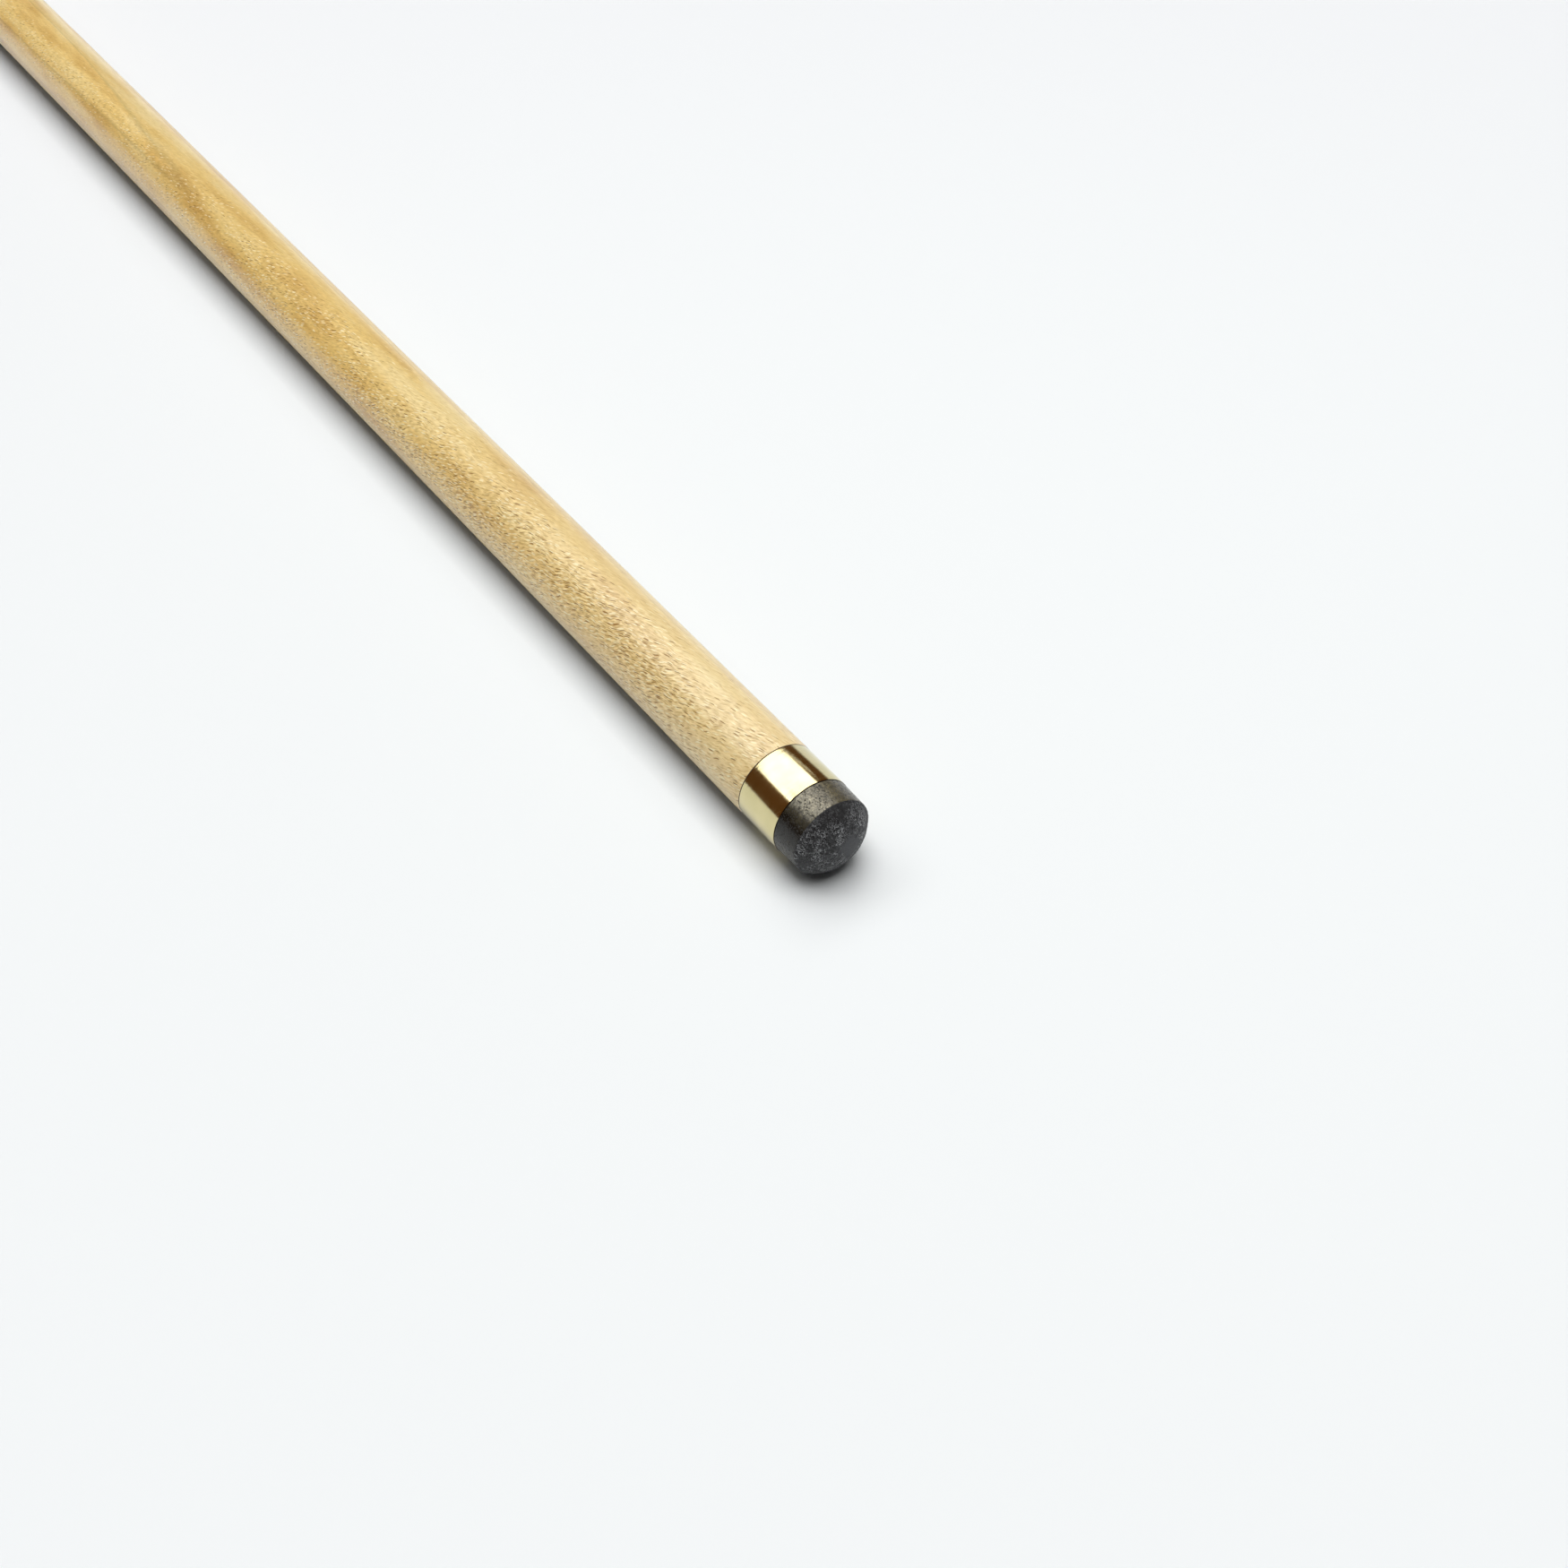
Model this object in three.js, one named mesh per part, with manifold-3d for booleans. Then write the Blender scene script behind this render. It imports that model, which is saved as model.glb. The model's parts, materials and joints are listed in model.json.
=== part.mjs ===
// A two-piece snooker cue lying on a table: leather tip, brass ferrule, tapered maple shaft,
// brass screw joint, butt of maple with four ebony splices, balance weight and screw-in bumper.
// Millimetres. Each piece is modelled on the cue's own axis, local Y, with 0 at the joint's faces,
// the leather tip towards +Y and the bumper towards -Y. The last lines lay the cue on the table.
import * as THREE from "three";
import { mergeVertices } from "three/addons/utils/BufferGeometryUtils.js";
import Module from "manifold-3d";

const wasm = await Module();
wasm.setup();

// Whole cue
const shaftLength = 728; // joint faces to the front of the ferrule
const buttLength = 705; // joint faces to the end of the wood
const ferruleDiameter = 9.5; // at the front
const jointDiameter = 18;
const buttDiameter = 29;
const seamGap = 0.12; // between faces that meet in sight, such as the tip's and the ferrule's
const boreClearance = 0.3; // round a fitting that is glued into a bore, and behind its end
const edgeBreak = 0.4; // small chamfer on turned edges
const cutOverrun = 5; // how far a cutting block runs past what it cuts
const rollAngle = Math.PI / 4; // about the cue's axis: the planed flat faces up and to one side

// Leather tip
const tipSideHeight = 3.3;
const tipDomeHeight = 2.3;
const tipRimRadius = 4.62;
const tipRimRound = 0.2;
const tipFootStep = 0.04; // the leather's foot lies this far inside the ferrule's edge

// Ferrule
const ferruleLength = 6.1;
const ferruleWall = 0.9;

// Grooves that hold the glue on a fitting
const glueGrooveDepth = 0.6;
const glueGrooveWidth = 1.5;
const glueGroovePitch = 11;

// Brass screw joint
const collarLength = 8;
const spigotDiameter = 12; // the part of each fitting that is glued into the wood
const spigotLength = 34;
const pinDiameter = 8;
const pinThreadDepth = 0.7;
const pinThreadEnd = 26; // joint faces to the end of the pin's threaded stretch
const pinNoseLength = 4; // plain nose in front of the thread
const pinReliefWidth = 1.6; // undercut between the collar's face and the thread
const pinClearance = 0.25; // round the pin in its socket
const socketFloorGap = 2; // between the pin's nose and the end of the socket's bore

// Splices
const coreHalfWidth = 7.5; // of the square maple core at the end of the wood
const spliceLength = 450; // end of the wood to the splices' points

// Flat planed on the butt
const flatLength = 95;
const flatDepth = 2.3; // at the end of the wood

// Balance weight
const weightDiameter = 8;
const weightLength = 120;

// Bumper
const bushDiameter = 12;
const bushLength = 24;
const studDiameter = 8;
const studThreadDepth = 0.6;
const studThreadLength = 18; // inside the wood
const studHeadDiameter = 15;
const studHeadThickness = 2.4;
const studHeadDepth = 2.2; // rubber between the stud's head and the wood
const padThickness = 9;
const padEdgeStep = 0.5; // the pad's edge lies this far inside the planed flat
const padEdgeRound = 2.6;

// How finely round shapes are faceted
const facets = 32; // a multiple of eight, so that one faces each quarter and one the table
const taperRows = 8;
const arcSteps = 9;

const materials = {
  maple: new THREE.MeshStandardMaterial({ color: 0xdcba88, roughness: 0.35, metalness: 0 }),
  brass: new THREE.MeshStandardMaterial({ color: 0xcaa650, roughness: 0.2, metalness: 1 }),
  leather: new THREE.MeshStandardMaterial({ color: 0x57534d, roughness: 0.85, metalness: 0 }),
  ebony: new THREE.MeshStandardMaterial({ color: 0x1f1712, roughness: 0.3, metalness: 0 }),
  steel: new THREE.MeshStandardMaterial({ color: 0x8c8f93, roughness: 0.45, metalness: 1 }),
  rubber: new THREE.MeshStandardMaterial({ color: 0x1b1b1c, roughness: 0.85, metalness: 0 }),
};

// Radius of the turned cue at a place on its axis: the parabola through its three diameters.
function radiusAt(place) {
  const front = shaftLength;
  const back = -buttLength;
  const frontShare = (place * (place - back)) / (front * (front - back));
  const jointShare = ((place - front) * (place - back)) / (front * back);
  const backShare = (place * (place - front)) / (back * (back - front));
  return (frontShare * ferruleDiameter + jointShare * jointDiameter + backShare * buttDiameter) / 2;
}

// Distance from the cue's axis to the middle of its facets, which is what the table touches.
function facetRadiusAt(place) {
  return radiusAt(place) * Math.cos(Math.PI / facets);
}

// Points [radius, place] of the cue's outside between two places on its axis.
function taperedSide(from, to) {
  return Array.from({ length: taperRows + 1 }, (_, row) => {
    const place = from + ((to - from) * row) / taperRows;
    return [radiusAt(place), place];
  });
}

// Points of an arc in a turned outline.
function arc(centreRadius, centrePlace, radius, fromAngle, toAngle) {
  return Array.from({ length: arcSteps + 1 }, (_, step) => {
    const angle = fromAngle + ((toAngle - fromAngle) * step) / arcSteps;
    return [centreRadius + radius * Math.cos(angle), centrePlace + radius * Math.sin(angle)];
  });
}

// The side of a fitting that is glued into a bore: as many evenly spaced grooves as there is room for.
function groovedSide(radius, from, to) {
  const count = Math.floor((to - from) / glueGroovePitch);
  const spacing = (to - from) / (count + 1);
  const side = [[radius, from]];
  for (let groove = 1; groove <= count; groove++) {
    const start = from + spacing * groove - glueGrooveWidth / 2;
    const stop = start + glueGrooveWidth;
    const floor = radius - glueGrooveDepth;
    side.push([radius, start], [floor, start], [floor, stop], [radius, stop]);
  }
  side.push([radius, to]);
  return side;
}

// A solid of revolution about the cue's axis. The outline starts and ends on the axis, and runs
// towards the tip where it is the outside.
function turned(outline) {
  return new THREE.LatheGeometry(
    outline.map(([radius, place]) => new THREE.Vector2(radius, place)),
    facets,
    Math.PI / facets,
  );
}

// A tube: its outline closes on its first point.
function turnedTube(outline) {
  return turned([...outline, outline[0]]);
}

function solidOf(geometry) {
  const bare = new THREE.BufferGeometry();
  bare.setAttribute("position", geometry.getAttribute("position"));
  bare.setIndex(geometry.index);
  const merged = mergeVertices(bare);
  const vertProperties = merged.getAttribute("position").array;
  const triVerts = new Uint32Array(merged.index ? merged.index.array : vertProperties.keys());
  return new wasm.Manifold(new wasm.Mesh({ numProp: 3, vertProperties, triVerts }));
}

function geometryOf(solid) {
  const { vertProperties, triVerts } = solid.getMesh();
  const geometry = new THREE.BufferGeometry();
  geometry.setAttribute("position", new THREE.BufferAttribute(vertProperties, 3));
  geometry.setIndex(new THREE.BufferAttribute(triVerts, 1));
  return geometry;
}

// The pressed leather tip: nearly straight sides, a narrow rounded rim and a domed striking face.
function leatherTip() {
  const foot = shaftLength + seamGap;
  const rim = foot + tipSideHeight;
  const crown = rim + tipDomeHeight;
  const domeRadius = (tipRimRadius ** 2 + tipDomeHeight ** 2) / (2 * tipDomeHeight);
  const domeCentre = crown - domeRadius;
  const domeStart = Math.asin((rim - domeCentre) / domeRadius) + tipRimRound / domeRadius;
  return turned([
    [0, foot],
    [radiusAt(shaftLength) - tipFootStep, foot],
    [tipRimRadius, rim - tipRimRound],
    ...arc(0, domeCentre, domeRadius, domeStart, Math.PI / 2).slice(0, -1),
    [0, crown],
  ]);
}

// The brass tube, turned flush with the wood behind it.
function ferrule() {
  const back = shaftLength - ferruleLength;
  const bore = radiusAt(shaftLength) - ferruleWall;
  return turnedTube([
    [bore, back],
    [radiusAt(back), back],
    [radiusAt(shaftLength), shaftLength],
    [bore, shaftLength],
  ]);
}

// The maple shaft: a tenon through the ferrule in front, and a bore for the joint's socket behind.
function shaft() {
  const back = collarLength + seamGap;
  const shoulder = shaftLength - ferruleLength - seamGap;
  const tenon = radiusAt(shaftLength) - ferruleWall - boreClearance;
  const bore = spigotDiameter / 2 + boreClearance;
  const boreEnd = collarLength + spigotLength + boreClearance;
  return turned([
    [0, boreEnd],
    [bore, boreEnd],
    [bore, back],
    ...taperedSide(back, shoulder),
    [tenon, shoulder],
    [tenon, shaftLength],
    [0, shaftLength],
  ]);
}

// The brass socket glued into the shaft: a collar flush with the wood and a blind bore for the pin.
function jointSocket() {
  const bore = pinDiameter / 2 + pinClearance;
  const boreEnd = pinThreadEnd + pinNoseLength + socketFloorGap;
  const end = collarLength + spigotLength;
  return turned([
    [0, boreEnd],
    [bore, boreEnd],
    [bore, edgeBreak],
    [bore + edgeBreak, 0],
    [radiusAt(0) - edgeBreak, 0],
    [radiusAt(edgeBreak), edgeBreak],
    [radiusAt(collarLength), collarLength],
    ...groovedSide(spigotDiameter / 2, collarLength, end - edgeBreak),
    [spigotDiameter / 2 - edgeBreak, end],
    [0, end],
  ]);
}

// The brass pin glued into the butt: a collar flush with the wood and a screw that draws the
// collars together. The screw is turned here to the outside of its thread.
function jointPin() {
  const face = -seamGap;
  const end = -collarLength - spigotLength;
  const crest = pinDiameter / 2;
  const root = crest - pinThreadDepth;
  const nose = pinThreadEnd + pinNoseLength;
  return turned([
    [0, end],
    [spigotDiameter / 2 - edgeBreak, end],
    ...groovedSide(spigotDiameter / 2, end + edgeBreak, -collarLength),
    [radiusAt(-collarLength), -collarLength],
    [radiusAt(face - edgeBreak), face - edgeBreak],
    [radiusAt(face) - edgeBreak, face],
    [root, face],
    [root, face + pinReliefWidth],
    [crest, face + pinReliefWidth + pinThreadDepth],
    [crest, pinThreadEnd - pinThreadDepth],
    [root, pinThreadEnd],
    [root, nose - edgeBreak],
    [root - edgeBreak, nose],
    [0, nose],
  ]);
}

// The butt's wood, turned and bored at both ends, before it is divided into its core and splices.
function buttWood() {
  const end = -buttLength;
  const front = -collarLength - seamGap;
  const pinBore = spigotDiameter / 2 + boreClearance;
  const pinBoreEnd = -collarLength - spigotLength - boreClearance;
  const bushBore = bushDiameter / 2 + boreClearance;
  const bushBoreEnd = end + bushLength + boreClearance;
  const weightBore = weightDiameter / 2 + boreClearance;
  const weightBoreEnd = bushBoreEnd + weightLength + boreClearance;
  return solidOf(
    turned([
      [0, weightBoreEnd],
      [weightBore, weightBoreEnd],
      [weightBore, bushBoreEnd],
      [bushBore, bushBoreEnd],
      [bushBore, end],
      [radiusAt(end) - edgeBreak, end],
      ...taperedSide(end + edgeBreak, front),
      [pinBore, front],
      [pinBore, pinBoreEnd],
      [0, pinBoreEnd],
    ]),
  );
}

// A block outside a sloping plane. The plane is at the first distance from the axis at the end of
// the wood, at the second one at the given length from there, and faces the given quarter: 0 is
// the right side of the cue before it is rolled, 1 its underside, 2 its left side and 3 its top.
function slopingBlock(quarter, endDistance, length, farDistance) {
  const slope = (farDistance - endDistance) / length;
  const start = -buttLength - cutOverrun;
  const stop = -buttLength + length + cutOverrun;
  const outside = buttDiameter;
  const section = new THREE.Shape([
    new THREE.Vector2(endDistance - slope * cutOverrun, start),
    new THREE.Vector2(outside, start),
    new THREE.Vector2(outside, stop),
    new THREE.Vector2(farDistance + slope * cutOverrun, stop),
  ]);
  const block = new THREE.ExtrudeGeometry(section, { depth: 2 * outside, bevelEnabled: false });
  block.translate(0, 0, -outside);
  block.rotateY((quarter * Math.PI) / 2);
  return solidOf(block);
}

// The block beyond a splice's seat, with the seat moved out or in by half of the glue's gap.
function spliceBlock(quarter, offset) {
  const pointRadius = radiusAt(-buttLength + spliceLength);
  return slopingBlock(quarter, coreHalfWidth + offset, spliceLength, pointRadius + offset);
}

// The maple core: the butt's wood with a seat planed for each splice.
function buttCore(wood) {
  let core = wood;
  for (let quarter = 0; quarter < 4; quarter++) {
    core = core.subtract(spliceBlock(quarter, -seamGap / 2));
  }
  return geometryOf(core);
}

// One of the first pair of splices. The second pair's seats are planed across its edges.
function firstSplice(wood, quarter) {
  const blank = wood.intersect(spliceBlock(quarter, seamGap / 2));
  const besideOne = spliceBlock(quarter + 1, -seamGap / 2);
  const besideOther = spliceBlock(quarter - 1, -seamGap / 2);
  return geometryOf(blank.subtract(besideOne).subtract(besideOther));
}

// One of the second pair of splices, which reach over the first pair's edges.
function secondSplice(wood, quarter) {
  return geometryOf(wood.intersect(spliceBlock(quarter, seamGap / 2)));
}

// The splice with the planed flat, which slopes from nothing to its depth at the end of the wood.
function flatSplice(wood, quarter) {
  const flatEnd = facetRadiusAt(-buttLength) - flatDepth;
  const flatStart = facetRadiusAt(-buttLength + flatLength);
  const flat = slopingBlock(quarter, flatEnd, flatLength, flatStart);
  return geometryOf(wood.intersect(spliceBlock(quarter, seamGap / 2)).subtract(flat));
}

// A steel rod in the core's bore that brings the balance point back.
function balanceWeight() {
  const back = -buttLength + bushLength + boreClearance;
  const front = back + weightLength;
  const radius = weightDiameter / 2;
  return turned([
    [0, back],
    [radius - edgeBreak, back],
    [radius, back + edgeBreak],
    [radius, front - edgeBreak],
    [radius - edgeBreak, front],
    [0, front],
  ]);
}

// The brass bush in the end of the butt that the bumper screws into.
function bumperBush() {
  const end = -buttLength;
  const radius = bushDiameter / 2;
  const bore = studDiameter / 2 + pinClearance;
  return turnedTube([
    [bore + edgeBreak, end],
    ...groovedSide(radius, end, end + bushLength),
    [bore, end + bushLength],
    [bore, end + edgeBreak],
  ]);
}

// The bumper's brass stud: a disc-shaped head inside the rubber and a screw for the bush, turned
// here to the outside of its thread.
function bumperStud() {
  const end = -buttLength;
  const headFront = end - seamGap - studHeadDepth;
  const headBack = headFront - studHeadThickness;
  const crest = studDiameter / 2;
  const root = crest - studThreadDepth;
  const tip = end + studThreadLength;
  return turned([
    [0, headBack],
    [studHeadDiameter / 2, headBack],
    [studHeadDiameter / 2, headFront],
    [root, headFront],
    [root, end],
    [crest, end + studThreadDepth],
    [crest, tip - studThreadDepth],
    [root, tip],
    [0, tip],
  ]);
}

// The rubber pad, moulded round the stud's head, with a rounded edge and a flat end.
function bumperPad() {
  const inner = -buttLength - seamGap;
  const outer = inner - padThickness;
  const radius = facetRadiusAt(-buttLength) - flatDepth - padEdgeStep;
  const neck = studDiameter / 2 - studThreadDepth + boreClearance;
  const pocket = studHeadDiameter / 2 + boreClearance;
  const pocketFront = inner - studHeadDepth + boreClearance;
  const pocketBack = inner - studHeadDepth - studHeadThickness - boreClearance;
  return turned([
    [0, outer],
    ...arc(radius - padEdgeRound, outer + padEdgeRound, padEdgeRound, -Math.PI / 2, 0),
    [radius, inner],
    [neck, inner],
    [neck, pocketFront],
    [pocket, pocketFront],
    [pocket, pocketBack],
    [0, pocketBack],
  ]);
}

const cue = new THREE.Group();

function addPiece(name, geometry, material) {
  const mesh = new THREE.Mesh(geometry, material);
  mesh.name = name;
  cue.add(mesh);
}

addPiece("leather_tip", leatherTip(), materials.leather);
addPiece("ferrule", ferrule(), materials.brass);
addPiece("shaft", shaft(), materials.maple);
addPiece("joint_socket", jointSocket(), materials.brass);
addPiece("joint_pin", jointPin(), materials.brass);

const wood = buttWood();
addPiece("butt_core", buttCore(wood), materials.maple);
addPiece("splice_right", firstSplice(wood, 0), materials.ebony);
addPiece("splice_left", firstSplice(wood, 2), materials.ebony);
addPiece("splice_lower", secondSplice(wood, 1), materials.ebony);
addPiece("splice_flat", flatSplice(wood, 3), materials.ebony);

addPiece("balance_weight", balanceWeight(), materials.steel);
addPiece("bumper_bush", bumperBush(), materials.brass);
addPiece("bumper_stud", bumperStud(), materials.brass);
addPiece("bumper_pad", bumperPad(), materials.rubber);

// The slope at which the cue lies on the end of its butt and on the first place in front of that
// which the table meets.
function restSlope() {
  const [[endRadius, end], ...side] = taperedSide(-buttLength + edgeBreak, shaftLength);
  const slopes = side.map(([radius, place]) => (endRadius - radius) / (place - end));
  return Math.atan(Math.cos(Math.PI / facets) * Math.min(...slopes));
}

// The cue's axis turns from local Y to X, rolls, and dips towards the tip.
const rolled = new THREE.Group();
cue.rotation.z = -Math.PI / 2;
rolled.rotation.x = rollAngle;
rolled.add(cue);
const snookerCue = new THREE.Group();
snookerCue.rotation.y = restSlope();
snookerCue.add(rolled);

// The origin is on the table, under the middle of the cue.
snookerCue.updateMatrixWorld(true);
const box = new THREE.Box3().setFromObject(snookerCue, true);
const middle = box.getCenter(new THREE.Vector3());
snookerCue.position.set(-middle.x, -middle.y, -box.min.z);

export default snookerCue;
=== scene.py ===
import json
import math

import bpy
import numpy as np
from mathutils import Euler, Matrix, Vector, noise

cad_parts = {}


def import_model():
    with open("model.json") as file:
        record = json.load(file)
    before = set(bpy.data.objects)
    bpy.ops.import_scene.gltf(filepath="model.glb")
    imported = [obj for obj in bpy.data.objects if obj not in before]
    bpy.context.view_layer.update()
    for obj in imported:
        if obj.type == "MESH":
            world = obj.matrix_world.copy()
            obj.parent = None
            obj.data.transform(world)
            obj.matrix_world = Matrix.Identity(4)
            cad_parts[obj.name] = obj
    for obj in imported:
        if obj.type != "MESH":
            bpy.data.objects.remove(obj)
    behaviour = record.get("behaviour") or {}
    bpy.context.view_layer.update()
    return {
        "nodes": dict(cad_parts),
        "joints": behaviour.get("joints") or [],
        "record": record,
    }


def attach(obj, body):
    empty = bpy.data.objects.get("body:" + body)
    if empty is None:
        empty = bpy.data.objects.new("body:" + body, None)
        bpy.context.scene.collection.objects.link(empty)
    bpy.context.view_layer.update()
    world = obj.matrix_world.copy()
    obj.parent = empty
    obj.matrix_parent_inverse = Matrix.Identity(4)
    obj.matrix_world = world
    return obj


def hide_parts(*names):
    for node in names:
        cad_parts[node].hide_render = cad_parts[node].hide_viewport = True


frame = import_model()

# A snooker cue on a pale table. Metres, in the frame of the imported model.
# Places along the cue are distances from the flat end of its bumper, and angles round it start at
# its left side, seen towards the tip, and rise over its top.

MM = 0.001

# Reading the CAD nodes
SAME_RING = 0.02 * MM  # vertices this close along the cue belong to one ring
RING_DECIMALS = 5  # of a metre, to which the places of rings are told apart
MID_FACE = 0.01 * MM  # a vertex nearer to the axis is the middle of an end face
TAPER_DEGREE = 2

# Meshes of the turned pieces
FINE_SEGMENTS = 256
TIP_SEGMENTS = 288
SHAFT_SEGMENTS = 192
THREAD_SEGMENTS = 96
THREAD_ROWS_PER_TURN = 14
DOME_STEPS = 60
SHAFT_STEPS = 150
ROUND_STEPS = 5
PAD_ROUND_STEPS = 12
TIP_ROW = 0.12 * MM  # the longest stretch between two rows of the tip
BORE_ROW = 1 * MM  # from each end of the ferrule's bore to its next row
ON_AXIS = 1e-7  # a row with a smaller radius is one point
SHARP_ANGLE = math.radians(40)  # below it the edges of a turned piece are smooth
EDGE_ROUND = 0.12 * MM
SEAM_EDGE_ROUND = 0.05 * MM

# Seams between glued pieces
GLUE_LINE = 0.03 * MM  # left open where the CAD solids stand further apart
SEAM_LINE = 0.05 * MM  # width of the dark line beside it: glue and grime, with painted shade of the narrow gap
SEAM_REACH = GLUE_LINE + SEAM_LINE

# Leather tip
TIP_SIDE_HEIGHT = 3.3 * MM
TIP_RIM_RADIUS = 4.62 * MM
TIP_RIM_ROUND = 0.3 * MM
TIP_PLAIN_FOOT = 0.1 * MM  # no relief this near to the ferrule
DOME_LEATHER_START = 0.1 * MM  # the striking face's leather starts this far before the rim
DOME_RELIEF_START = 0.2 * MM  # the striking face's relief starts this far before the rim
DOME_RELIEF_RISE = 0.3 * MM  # and is whole after this length
DOME_MIDDLE = 1.0 * MM  # inside this radius the relief turns from outward to forward
COARSE_RELIEF_SCALE = 0.9  # noise cells a millimetre
FINE_RELIEF_SCALE = 2.4
FINE_RELIEF_FRACTAL = (0.8, 2.1, 3)  # increment, lacunarity and octaves
SIDE_RELIEF = (0.010, 0.008)  # heights of the coarse and the fine relief, in millimetres
DOME_RELIEF = (0.030, 0.035)
DOME_SINK = 0.045  # keeps the dome's relief inside its solid, in millimetres
RELIEF_OUTWARD = 0.8  # how much of the relief moves a point outward
RELIEF_FORWARD_LOSS = 0.5  # how much less of it moves a point forward off the middle

# Brass fittings and the bumper
COLLAR_LENGTH = 8 * MM
COLLAR_BREAK = 0.4 * MM
SPIGOT_RADIUS = 6 * MM
SPIGOT_LENGTH = 34 * MM
GROOVE_PITCH = 11 * MM
GROOVE_WIDTH = 1.5 * MM
GROOVE_DEPTH = 0.6 * MM
BORE_RADIUS = 4.25 * MM
BORE_LENGTH = 32 * MM
BORE_THREAD_DEPTH = 0.45 * MM
PIN_ROOT = 3.3 * MM
PIN_RELIEF = 1.6 * MM
PIN_NOSE = 4 * MM
PIN_PITCH = 1.6 * MM
PIN_THREAD_DEPTH = 0.7 * MM
STUD_ROOT = 3.4 * MM
STUD_PITCH = 1.25 * MM
STUD_THREAD_DEPTH = 0.6 * MM
STUD_HEAD_RADIUS = 7.5 * MM
STUD_HEAD_THICKNESS = 2.4 * MM
THREAD_FOOT = 0.40  # half the width of a thread's ridge at its foot, in pitches
THREAD_FLANK = 0.34  # what its flank takes of that
SAME_RADIUS = 1e-6  # a point nearer to the base radius is on the threaded stretch
PAD_END_ROUND = 3.64 * MM
PAD_NECK = 3.7 * MM
PAD_POCKET_RADIUS = 7.8 * MM

# The photograph's camera, from the centre of the ferrule's front
CAMERA_FROM_FERRULE = Vector((86.35, -64.97, 113.45)) * MM
CAMERA_HEADING = math.radians(144.54)  # level direction of view, from +X
CAMERA_DIP = math.radians(45.16)
CAMERA_CLIP = (0.01, 100)
PHOTO_SIZE = 1750
FOCAL_LENGTH_PIXELS = 1725
SENSOR_WIDTH_MM = 36

# Light: three flat lamps overhead. Their reaches along X and across Y, from the point above the
# ferrule's front, are in lamp heights.
LAMP_HEIGHT = 5.0
SOFTBOX_ALONG = (-0.50, 0.44)
SOFTBOX_ACROSS = (-0.32, 0.50)
SOFTBOX_RADIANCE = 4.0
PANEL_ALONG = (-1.05, -0.54)
PANEL_ACROSS = (-0.84, 0.91)
PANEL_RADIANCE = 3.0
STRIP_ALONG = (-1.14, -1.02)
STRIP_ACROSS = (0.91, 1.42)
STRIP_RADIANCE = 1.3

# World: a dim room, which polished metal shows warm, above a pale horizon
ROOM_COLOR = (0.03, 0.03, 0.03, 1)
ROOM_GLOSS_COLOR = (0.11, 0.048, 0.016, 1)
HORIZON_COLOR = (0.92, 0.93, 0.95, 1)
HORIZON_SINE = (0.02, 0.11)  # sines of the elevations between which the pale horizon gives way
HORIZON_SLOPE = 0.115  # how much higher it stands on the far side

# Floor, and the backdrop that is seen far from the cue and above the floor
FLOOR_HALF = 30.0
# The floor's colour at the centre of a painted pool of light round the tip; further out it fades to the far
# colour.
FLOOR_PAINTED_POOL_COLOR = (0.870, 0.893, 0.895, 1)
FLOOR_FAR_COLOR = (0.830, 0.841, 0.855, 1)
FLOOR_LATE_COLOR = (0.12, 0.12, 0.12, 1)  # for light that has already met two matt surfaces
FLOOR_LATE_DEPTH = 1.5  # between the counts of one and two matt surfaces
PAINTED_LIGHT_POOL_CENTRE = Vector((-18, 25, 0)) * MM  # centre of the painted pool of light, from the ferrule's front
PAINTED_LIGHT_POOL_RADIUS = 0.30
BACKDROP_COLOR = (0.90, 0.91, 0.92, 1)
BACKDROP_REACH = (0.9, 3.0)  # distances from the cue's middle between which the floor turns into it


def cue_axes():
    """The cue's own axes as columns: towards the tip, to the left, up."""
    draw = next(j for j in frame["joints"] if j["name"] == "shaft_unscrews")
    forward = Vector(draw["axis"]).normalized()
    left = Vector((0, 0, 1)).cross(forward).normalized()
    return Matrix((forward, left, forward.cross(left))).transposed()


def mount_place(name):
    """The place of one of the part's mounts."""
    mount = next(m for m in frame["record"]["mounts"] if m["name"] == name)
    return Vector(mount["pos_m"])


CUE_AXES = cue_axes()
BUTT_END = mount_place("bumper_end")


def rings(node):
    """Places along the cue and distances from its axis of a node's vertices."""
    points = np.array([v.co for v in frame["nodes"][node].data.vertices]) - np.array(BUTT_END)
    local = points @ np.array(CUE_AXES)
    return local[:, 0], np.hypot(local[:, 1], local[:, 2])


def reach(node):
    """The places where a node starts and ends."""
    places, _ = rings(node)
    return float(places.min()), float(places.max())


def radius_near(node, place):
    """The outer radius of the node's ring that is nearest to a place."""
    places, radii = rings(node)
    nearest = np.abs(places - place).min()
    return float(radii[np.abs(places - place) < nearest + SAME_RING].max())


def outer_radii(node):
    """A function that gives a tapered node's outer radius at a place."""
    places, radii = rings(node)
    keys = np.unique(np.round(places, RING_DECIMALS))
    outer = np.array([radii[np.abs(places - key) < SAME_RING].max() for key in keys])
    # The end of a bore is narrower than some ring ahead of it, and a tenon is the narrowest of all.
    widest_ahead = np.maximum.accumulate(outer[::-1])[::-1]
    on_taper = (outer >= widest_ahead) & (outer > outer.min())
    curve = np.polyfit(keys[on_taper], outer[on_taper], TAPER_DEGREE)
    return lambda place: float(np.polyval(curve, place))


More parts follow.
